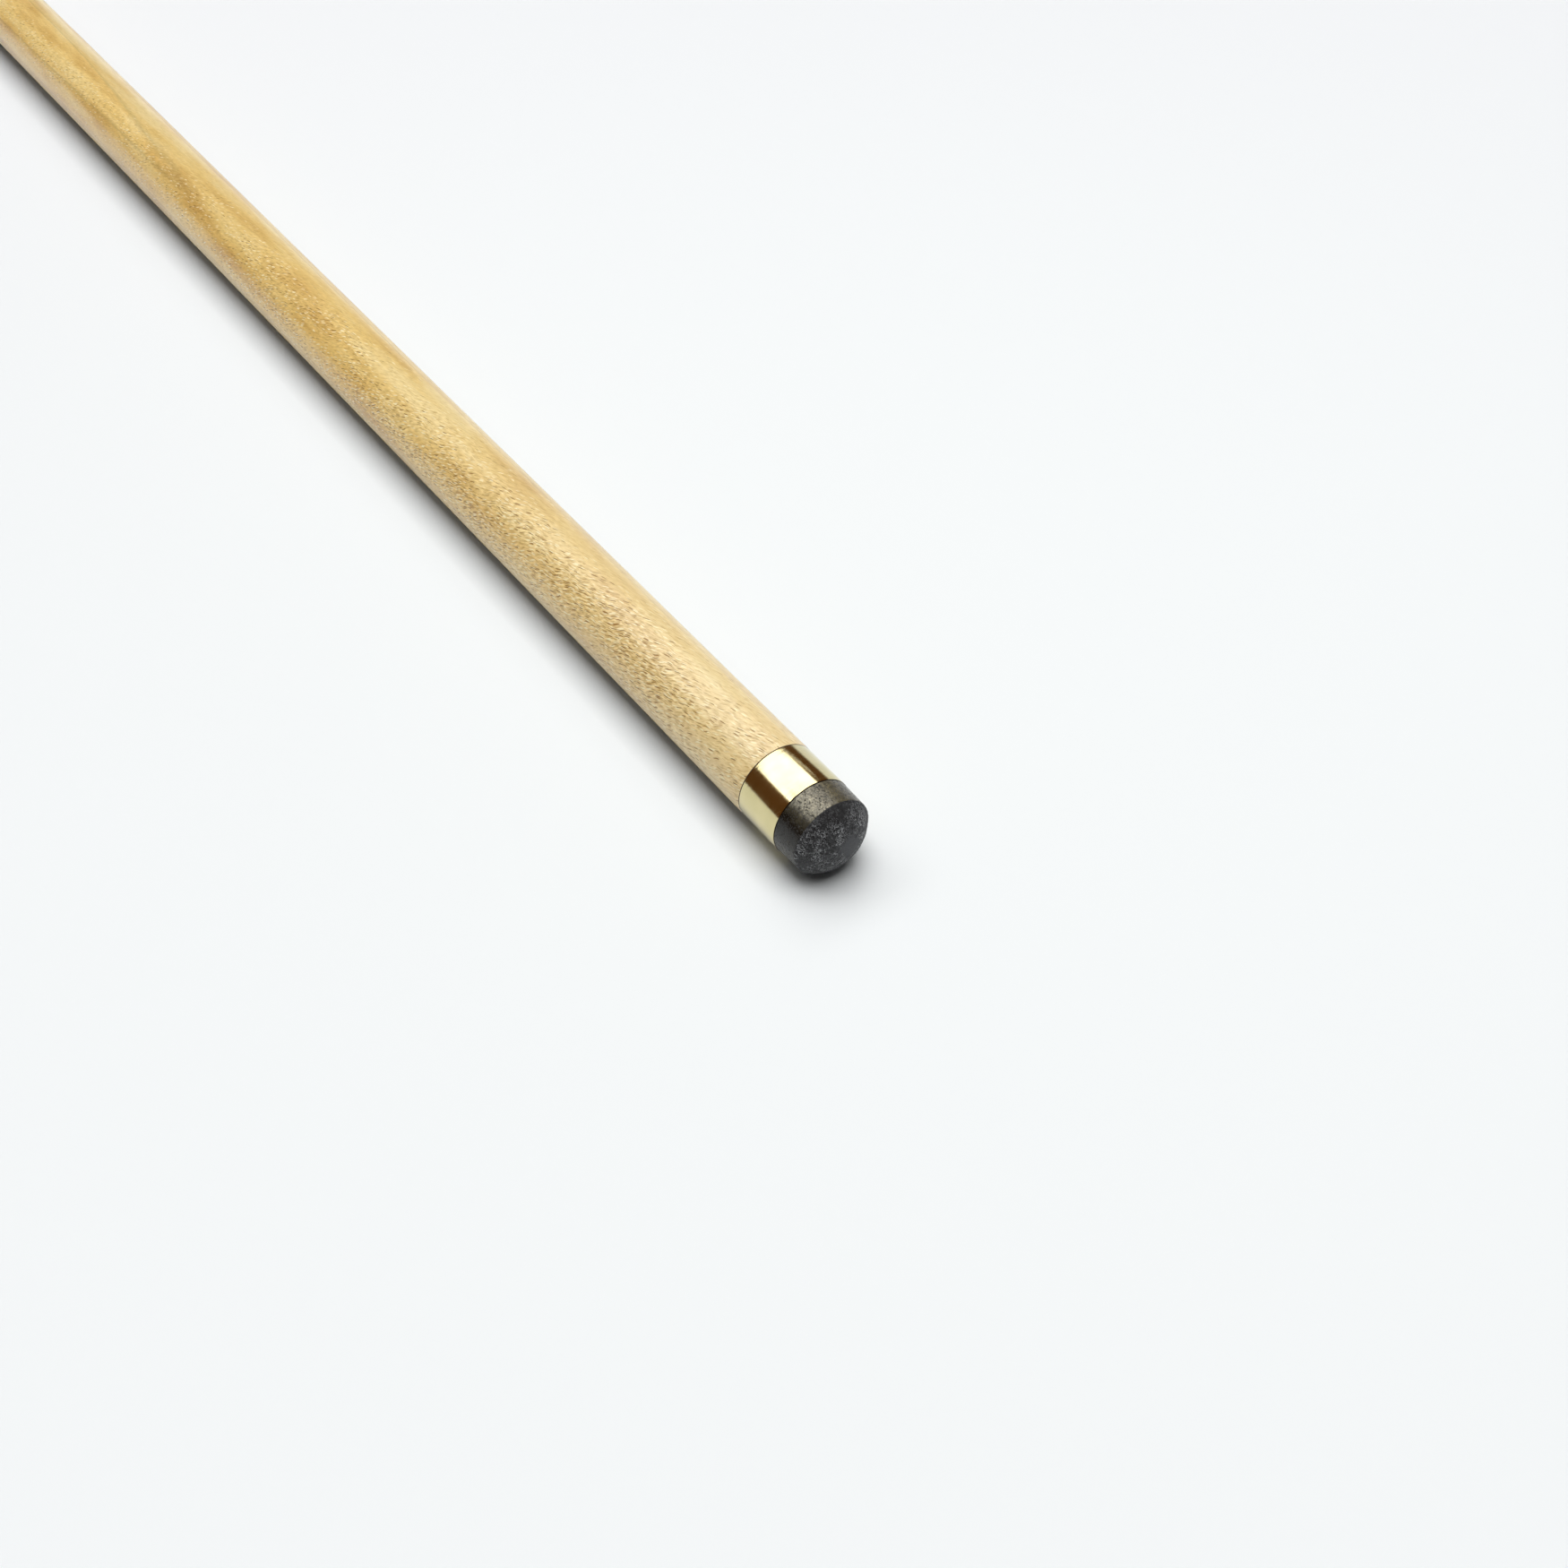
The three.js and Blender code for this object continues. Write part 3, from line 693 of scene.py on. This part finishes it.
def leather_dome():
    """The tip's striking face: dark leather with pale curled fibres and specks, and a worn patch."""
    material, tree, shader = new_material("scuffed_leather")
    place = cue_coordinates(tree)
    parts = split(tree, place)
    mottle = clouds(tree, place, scale=2.2, detail=4.0, roughness=0.65)
    ground = ramp(tree, mottle, *DOME_TONES)
    chalk = calculate(tree, "MULTIPLY_ADD", parts["Y"], CHALK_LEAN, parts["Z"])
    ground = blended(tree, 1.0, ground, between(tree, chalk, *CHALK_REACH, *CHALK), "MULTIPLY")
    threads = clouds(tree, swayed(tree, place, **THREAD_SWAY), scale=3.1, detail=2.0, roughness=0.6)
    threads = calculate(tree, "ABSOLUTE", calculate(tree, "SUBTRACT", threads, NOISE_MIDDLE))
    threads = ramp(tree, threads, *THREAD_TONES)
    dust = ramp(tree, clouds(tree, place, scale=5.2, detail=2.0, roughness=0.6), *DUST_TONES)
    cover = ramp(tree, clouds(tree, place, scale=0.9, detail=3.0, roughness=0.65), *COVER_TONES)
    pale = calculate(tree, "MULTIPLY", calculate(tree, "MAXIMUM", threads, dust), cover)
    off = vector(tree, "SUBTRACT", vector(tree, "MULTIPLY", place, (0.0, 1.0, 1.0)), WORN_SPOT)
    off = vector(tree, "LENGTH", swayed(tree, off, **WORN_SWAY))
    worn = ramp(tree, calculate(tree, "DIVIDE", off, WORN_RADIUS), *WORN_TONES)
    top = ramp(tree, calculate(tree, "DIVIDE", parts["Z"], TOP_HEIGHT), *TOP_TONES)
    pale = calculate(tree, "MULTIPLY", pale, calculate(tree, "SUBTRACT", top, worn), use_clamp=True)
    color = blended(tree, pale, ground, SCUFF_COLOR)
    color = blended(tree, worn, color, WORN_COLOR)
    relief = bumped(tree, calculate(tree, "ADD", mottle, pale), DOME_LEATHER_RELIEF)
    connect(tree, shader, color=color, roughness=0.62, normal=relief, specular=0.35)
    return material


EBONY_TURN = 0.6  # radians round the cue, to keep the streaks off the axes
EBONY_STREAK_SCALE = (0.03, 1.6, 1.6)
EBONY_TONES = ((0.35, (0.007, 0.006, 0.005, 1)), (0.70, (0.030, 0.018, 0.012, 1)))
EBONY_PORE_SCALE = (0.6, 9.0, 9.0)
EBONY_PORE_TONES = ((0.30, 0.7), (0.38, 0.0))
EBONY_PORE_COLOR = (0.004, 0.003, 0.003, 1)
EBONY_RELIEF = 0.01 * MM


def ebony():
    """Nearly black wood with faint brown grain under a polished varnish."""
    material, tree, shader = new_material("ebony")
    grain = cue_coordinates(tree, EBONY_TURN)
    streaks = clouds(tree, stretched(tree, grain, EBONY_STREAK_SCALE), detail=4.0, roughness=0.6)
    pores = clouds(tree, stretched(tree, grain, EBONY_PORE_SCALE), detail=2.0)
    color = ramp(tree, streaks, *EBONY_TONES)
    color = blended(tree, ramp(tree, pores, *EBONY_PORE_TONES), color, EBONY_PORE_COLOR)
    relief = bumped(tree, pores, EBONY_RELIEF, strength=0.4)
    connect(tree, shader, color=color, roughness=0.35, normal=relief, coat=0.8, coat_roughness=0.10)
    return material


RUBBER_TONES = ((0.3, (0.014, 0.014, 0.015, 1)), (0.75, (0.032, 0.032, 0.034, 1)))
RUBBER_RELIEF = 0.03 * MM


def rubber():
    """Black moulded rubber, slightly mottled."""
    material, tree, shader = new_material("rubber")
    skin = clouds(tree, cue_coordinates(tree), scale=3.0, detail=4.0, roughness=0.6)
    relief = bumped(tree, skin, RUBBER_RELIEF, strength=0.5)
    connect(tree, shader, color=ramp(tree, skin, *RUBBER_TONES), roughness=0.72, normal=relief)
    return material


STEEL_MARK_SCALE = (12.0, 0.1, 0.1)
STEEL_TONES = ((0.3, (0.42, 0.43, 0.45, 1)), (0.7, (0.55, 0.56, 0.58, 1)))
STEEL_RELIEF = 0.01 * MM


def steel():
    """Plain turned steel: marks run round the cue."""
    material, tree, shader = new_material("turned_steel")
    marks = clouds(tree, stretched(tree, cue_coordinates(tree), STEEL_MARK_SCALE), detail=3.0)
    relief = bumped(tree, marks, STEEL_RELIEF, strength=0.6)
    connect(tree, shader, color=ramp(tree, marks, *STEEL_TONES), metallic=1.0, roughness=0.32, normal=relief)
    return material


FERRULE_ENDS = tuple(place / MM for place in reach("ferrule"))
SHAFT_WOOD = maple("maple", FERRULE_ENDS[:1])
BUTT_WOOD = maple("butt_maple")
FERRULE_BRASS = brass("ferrule_brass", FERRULE_ENDS)
BRASS = brass("brass")
SIDE_LEATHER_PAINTED_SHEEN = leather_side()
SCUFFED_LEATHER = leather_dome()
EBONY = ebony()
RUBBER = rubber()
STEEL = steel()


# Pieces of the front


def leather_tip():
    crown = reach("leather_tip")[1]
    rim = reach("leather_tip")[0] + TIP_SIDE_HEIGHT
    foot = reach("ferrule")[1] + GLUE_LINE
    height = crown - rim
    dome_radius = (TIP_RIM_RADIUS ** 2 + height ** 2) / (2 * height)
    centre = crown - dome_radius
    start = math.asin((rim - centre) / dome_radius)
    corners = [(foot, 0, 0), (foot, radius_near("leather_tip", foot), SEAM_EDGE_ROUND),
               (rim, TIP_RIM_RADIUS, TIP_RIM_ROUND)]
    for step in range(1, DOME_STEPS):
        angle = start + (math.pi / 2 - start) * step / DOME_STEPS
        corners.append((centre + dome_radius * math.sin(angle), dome_radius * math.cos(angle), 0))
    corners.append((crown, 0, 0))
    outline = divided(rounded(corners), TIP_ROW)

    def pressed(place, radius, angle):
        """The relief of pressed leather, finer and deeper on the dome."""
        if place < foot + TIP_PLAIN_FOOT:
            return place, radius
        spot = Vector((place, radius * math.cos(angle), radius * math.sin(angle))) / MM
        coarse = noise.noise(spot * COARSE_RELIEF_SCALE)
        fine = noise.fractal(spot * FINE_RELIEF_SCALE, *FINE_RELIEF_FRACTAL)
        on_dome = min(1.0, max(0.0, (place - rim + DOME_RELIEF_START) / DOME_RELIEF_RISE))
        side = coarse * SIDE_RELIEF[0] + fine * SIDE_RELIEF[1]
        dome = coarse * DOME_RELIEF[0] + fine * DOME_RELIEF[1] - DOME_SINK
        lift = (side * (1 - on_dome) + dome * on_dome) * MM
        outward = min(1.0, radius / DOME_MIDDLE)
        forward = on_dome * (1 - RELIEF_FORWARD_LOSS * outward)
        return place + lift * forward, radius + lift * outward * RELIEF_OUTWARD

    tip = turned(
        "tip", outline, "leather_tip", "shaft_half", SIDE_LEATHER_PAINTED_SHEEN, TIP_SEGMENTS, pressed
    )
    tip.data.materials.append(SCUFFED_LEATHER)
    for face in tip.data.polygons:
        if (face.center - BUTT_END).dot(CUE_AXES.col[0]) > rim - DOME_LEATHER_START:
            face.material_index = 1


def ferrule():
    back, front = reach("ferrule")
    _, radii = rings("ferrule")
    bore = float(radii.min())
    corners = [(back + BORE_ROW, bore, 0), (back, bore, 0)]
    corners += [(place, radius_near("ferrule", place), SEAM_EDGE_ROUND) for place in (back, front)]
    corners += [(front, bore, 0), (front - BORE_ROW, bore, 0)]
    turned("ferrule_tube", rounded(corners), "ferrule", "shaft_half", FERRULE_BRASS, tube=True)


def shaft():
    back = reach("joint_socket")[0] + COLLAR_LENGTH + GLUE_LINE
    shoulder = reach("ferrule")[0] - GLUE_LINE
    front = reach("shaft")[1]
    tenon = radius_near("shaft", front)
    places, radii = rings("shaft")
    bore_end = float(places[radii < MID_FACE].min())
    bore = radius_near("shaft", bore_end)
    radius = outer_radii("shaft")
    corners = [(bore_end, 0, 0), (bore_end, bore, 0), (back, bore, 0)]
    for step in range(SHAFT_STEPS + 1):
        place = back + (shoulder - back) * step / SHAFT_STEPS
        corners.append((place, radius(place), SEAM_EDGE_ROUND if step in (0, SHAFT_STEPS) else 0))
    corners += [(shoulder, tenon, 0), (front, tenon, 0), (front, 0, 0)]
    turned("shaft_wood", rounded(corners), "shaft", "shaft_half", SHAFT_WOOD, SHAFT_SEGMENTS)


leather_tip()
ferrule()
shaft()


# Pieces of the joint and the bumper


def grooved(radius, start, end):
    """Corners along the side of a glued fitting, with evenly spaced grooves for the glue."""
    count = int((end - start) / GROOVE_PITCH)
    spacing = (end - start) / (count + 1)
    floor_radius = radius - GROOVE_DEPTH
    corners = [(start, radius, 0)]
    for groove in range(1, count + 1):
        near = start + spacing * groove - GROOVE_WIDTH / 2
        far = near + GROOVE_WIDTH
        corners += [(near, radius, 0), (near, floor_radius, 0), (far, floor_radius, 0), (far, radius, 0)]
    return corners + [(end, radius, 0)]


def threaded(start, end, base, pitch, depth):
    """Corners of a threaded stretch, and the shape that raises a right-handed thread on it."""
    rows = math.ceil((end - start) / pitch * THREAD_ROWS_PER_TURN)
    corners = [(start + (end - start) * row / rows, base, 0) for row in range(rows + 1)]

    def shape(place, radius, angle):
        if abs(radius - base) > SAME_RADIUS or not start <= place <= end:
            return place, radius
        turn = ((place - start) / pitch - angle / (2 * math.pi)) % 1
        ridge = min(1.0, max(0.0, (THREAD_FOOT - abs(turn - 0.5)) / THREAD_FLANK))
        runout = min(1.0, (place - start) / pitch, (end - place) / pitch)
        return place, radius + depth * ridge * runout

    return corners, shape


def joint_socket():
    face, end = reach("joint_socket")
    collar_end = face + COLLAR_LENGTH
    side = radius_near("shaft", collar_end)
    bore_end = face + BORE_LENGTH
    thread, shape = threaded(
        face + COLLAR_BREAK, bore_end - PIN_NOSE, BORE_RADIUS, PIN_PITCH, BORE_THREAD_DEPTH
    )
    corners = [(bore_end, 0, 0), (bore_end, BORE_RADIUS, 0)] + thread[::-1]
    corners += [(face, BORE_RADIUS + COLLAR_BREAK, 0), (face, side, COLLAR_BREAK)]
    corners += [(collar_end, side, SEAM_EDGE_ROUND)]
    corners += grooved(SPIGOT_RADIUS, collar_end, end - COLLAR_BREAK)
    corners += [(end, SPIGOT_RADIUS - COLLAR_BREAK, 0), (end, 0, 0)]
    turned(
        "socket_fitting", rounded(corners), "joint_socket", "shaft_half", BRASS, THREAD_SEGMENTS,
        shape,
    )


def joint_pin():
    back, nose = reach("joint_pin")
    collar_start = back + SPIGOT_LENGTH
    side = radius_near("joint_pin", collar_start)
    seam = reach("butt_core")[1] + GLUE_LINE
    face = collar_start + COLLAR_LENGTH - GLUE_LINE
    thread, shape = threaded(face + PIN_RELIEF, nose - PIN_NOSE, PIN_ROOT, PIN_PITCH, PIN_THREAD_DEPTH)
    corners = [(back, 0, 0), (back, SPIGOT_RADIUS - COLLAR_BREAK, 0)]
    corners += grooved(SPIGOT_RADIUS, back + COLLAR_BREAK, seam)
    corners += [(seam, side, SEAM_EDGE_ROUND), (face, side, COLLAR_BREAK), (face, PIN_ROOT, 0)]
    corners += thread + [(nose, PIN_ROOT, COLLAR_BREAK), (nose, 0, 0)]
    turned("pin_fitting", rounded(corners), "joint_pin", "butt_half", BRASS, THREAD_SEGMENTS, shape)


def bumper_bush():
    end, inner = reach("bumper_bush")
    thread, shape = threaded(end + COLLAR_BREAK, inner, BORE_RADIUS, STUD_PITCH, BORE_THREAD_DEPTH)
    corners = [(end, BORE_RADIUS + COLLAR_BREAK, 0)] + grooved(SPIGOT_RADIUS, end, inner) + thread[::-1]
    turned(
        "bush_fitting", rounded(corners), "bumper_bush", "butt_half", BRASS, THREAD_SEGMENTS, shape,
        tube=True,
    )


def bumper_stud():
    back, tip = reach("bumper_stud")
    head_front = back + STUD_HEAD_THICKNESS
    thread, shape = threaded(reach("bumper_bush")[0], tip, STUD_ROOT, STUD_PITCH, STUD_THREAD_DEPTH)
    corners = [(back, 0, 0)]
    corners += [(place, STUD_HEAD_RADIUS, EDGE_ROUND) for place in (back, head_front)]
    corners += [(head_front, STUD_ROOT, 0)] + thread + [(tip, 0, 0)]
    turned("stud_screw", rounded(corners), "bumper_stud", "bumper", BRASS, THREAD_SEGMENTS, shape)


def bumper_pad():
    outer, inner = reach("bumper_pad")
    side = radius_near("bumper_pad", inner)
    stud_back = reach("bumper_stud")[0]
    play = PAD_POCKET_RADIUS - STUD_HEAD_RADIUS
    pocket_back = stud_back - play
    pocket_front = stud_back + STUD_HEAD_THICKNESS + play
    corners = [(outer, 0, 0), (outer, side, PAD_END_ROUND), (inner, side, EDGE_ROUND), (inner, PAD_NECK, 0)]
    corners += [(pocket_front, PAD_NECK, 0), (pocket_front, PAD_POCKET_RADIUS, 0)]
    corners += [(pocket_back, PAD_POCKET_RADIUS, 0), (pocket_back, 0, 0)]
    turned("pad", rounded(corners, PAD_ROUND_STEPS), "bumper_pad", "bumper", RUBBER)


joint_socket()
joint_pin()
bumper_bush()
bumper_stud()
bumper_pad()


# Dressed CAD nodes

SAME_CORNER = 0.001 * MM  # a CAD mesh's corners nearer than this are joined
ROUND_FACE_ANGLE = math.radians(20)  # the facets of a round face meet at less


def smoothing():
    """A modifier tree that joins a CAD mesh's doubled corners and smooths its round faces."""
    tree = bpy.data.node_groups.new("smooth_round_faces", "GeometryNodeTree")
    tree.interface.new_socket("Geometry", in_out="INPUT", socket_type="NodeSocketGeometry")
    tree.interface.new_socket("Geometry", in_out="OUTPUT", socket_type="NodeSocketGeometry")
    start = add(tree, "NodeGroupInput")
    merge = add(tree, "GeometryNodeMergeByDistance", {"Geometry": start.outputs[0], "Distance": SAME_CORNER})
    faces = add(tree, "GeometryNodeSetShadeSmooth", {"Geometry": merge.outputs[0]})
    angle = add(tree, "GeometryNodeInputMeshEdgeAngle").outputs["Unsigned Angle"]
    shallow = add(tree, "FunctionNodeCompare", {0: angle, 1: ROUND_FACE_ANGLE}, operation="LESS_THAN")
    inputs = {"Geometry": faces.outputs[0], "Shade Smooth": shallow.outputs[0]}
    edges = add(tree, "GeometryNodeSetShadeSmooth", inputs, domain="EDGE")
    add(tree, "NodeGroupOutput", {0: edges.outputs[0]})
    return tree


SMOOTHING = smoothing()


def dress(node, material):
    """Gives a CAD node its material and the smoothing modifier."""
    cad = frame["nodes"][node]
    cad.data.materials.clear()
    cad.data.materials.append(material)
    modifier = cad.modifiers.new("smooth", "NODES")
    modifier.node_group = SMOOTHING


dress("butt_core", BUTT_WOOD)
dress("balance_weight", STEEL)
for splice in ("splice_right", "splice_left", "splice_lower", "splice_flat"):
    dress(splice, EBONY)


# Floor, light and camera


def ferrule_front():
    """The centre of the ferrule's front."""
    return BUTT_END + CUE_AXES @ Vector((reach("ferrule")[1], 0, 0))


def floor():
    """A pale plane with a painted pool of light round the tip, that turns into the backdrop far away."""
    mesh = bpy.data.meshes.new("floor")
    h = FLOOR_HALF
    mesh.from_pydata([(-h, -h, 0), (h, -h, 0), (h, h, 0), (-h, h, 0)], [], [(0, 1, 2, 3)])
    material, tree, shader = new_material("floor")
    # Painted pool of light: the floor is lighter round the tip.
    centre = ferrule_front() + PAINTED_LIGHT_POOL_CENTRE
    place = tree.nodes.new("ShaderNodeTexCoord").outputs["Object"]
    off = vector(tree, "LENGTH", vector(tree, "SUBTRACT", place, (centre.x, centre.y, 0)))
    share = between(tree, off, 0.0, PAINTED_LIGHT_POOL_RADIUS, interpolation_type="SMOOTHSTEP")
    color = blended(tree, share, FLOOR_PAINTED_POOL_COLOR, FLOOR_FAR_COLOR)
    rays = tree.nodes.new("ShaderNodeLightPath").outputs
    late = calculate(tree, "GREATER_THAN", rays["Diffuse Depth"], FLOOR_LATE_DEPTH)
    color = blended(tree, late, color, FLOOR_LATE_COLOR)
    connect(tree, shader, color=color, roughness=0.9, specular=0.0)
    far = between(tree, vector(tree, "LENGTH", place), *BACKDROP_REACH, interpolation_type="SMOOTHSTEP")
    seen = calculate(tree, "MAXIMUM", rays["Is Camera Ray"], rays["Is Glossy Ray"])
    backdrop = add(tree, "ShaderNodeEmission", {"Color": BACKDROP_COLOR, "Strength": 1.0}).outputs[0]
    share = calculate(tree, "MULTIPLY", far, seen)
    mixed = add(tree, "ShaderNodeMixShader", {0: share, 1: shader.outputs[0], 2: backdrop}).outputs[0]
    tree.links.new(mixed, tree.nodes["Material Output"].inputs["Surface"])
    mesh.materials.append(material)
    plane = bpy.data.objects.new("floor", mesh)
    bpy.context.scene.collection.objects.link(plane)


def lamp(name, along, across, radiance):
    """A flat lamp overhead that sends the same radiance from all its face."""
    light = bpy.data.lights.new(name, "AREA")
    light.shape = "RECTANGLE"
    light.size = (along[1] - along[0]) * LAMP_HEIGHT
    light.size_y = (across[1] - across[0]) * LAMP_HEIGHT
    light.energy = radiance * math.pi * light.size * light.size_y
    holder = bpy.data.objects.new(name, light)
    middle = Vector(((along[0] + along[1]) / 2, (across[0] + across[1]) / 2, 1)) * LAMP_HEIGHT
    holder.location = ferrule_front() + middle
    bpy.context.scene.collection.objects.link(holder)


def world():
    """The dim room and its pale horizon, and a plain backdrop for what the camera sees."""
    made = bpy.data.worlds.new("room")
    made.use_nodes = True
    tree = made.node_tree
    tree.nodes.clear()
    parts = split(tree, tree.nodes.new("ShaderNodeTexCoord").outputs["Generated"])
    height = calculate(tree, "SUBTRACT", parts["Z"], calculate(tree, "MULTIPLY", parts["Y"], HORIZON_SLOPE))
    rays = tree.nodes.new("ShaderNodeLightPath").outputs
    room = blended(tree, rays["Is Glossy Ray"], ROOM_COLOR, ROOM_GLOSS_COLOR)
    above = ramp(tree, height, (HORIZON_SINE[0], 0.0), (HORIZON_SINE[1], 1.0))
    color = blended(tree, above, HORIZON_COLOR, room)
    color = blended(tree, rays["Is Camera Ray"], color, BACKDROP_COLOR)
    background = add(tree, "ShaderNodeBackground", {"Color": color, "Strength": 1.0}).outputs[0]
    add(tree, "ShaderNodeOutputWorld", {"Surface": background})
    bpy.context.scene.world = made


def camera():
    """The photograph's camera."""
    data = bpy.data.cameras.new("camera")
    data.sensor_fit = "HORIZONTAL"
    data.sensor_width = SENSOR_WIDTH_MM
    data.lens = SENSOR_WIDTH_MM * FOCAL_LENGTH_PIXELS / PHOTO_SIZE
    data.clip_start, data.clip_end = CAMERA_CLIP
    holder = bpy.data.objects.new("camera", data)
    holder.location = ferrule_front() + CAMERA_FROM_FERRULE
    holder.rotation_euler = Euler((math.pi / 2 - CAMERA_DIP, 0, CAMERA_HEADING - math.pi / 2))
    bpy.context.scene.collection.objects.link(holder)
    bpy.context.scene.camera = holder


floor()
lamp("softbox", SOFTBOX_ALONG, SOFTBOX_ACROSS, SOFTBOX_RADIANCE)
lamp("panel", PANEL_ALONG, PANEL_ACROSS, PANEL_RADIANCE)
lamp("strip", STRIP_ALONG, STRIP_ACROSS, STRIP_RADIANCE)
world()
camera()
bpy.context.scene.view_settings.view_transform = "Standard"
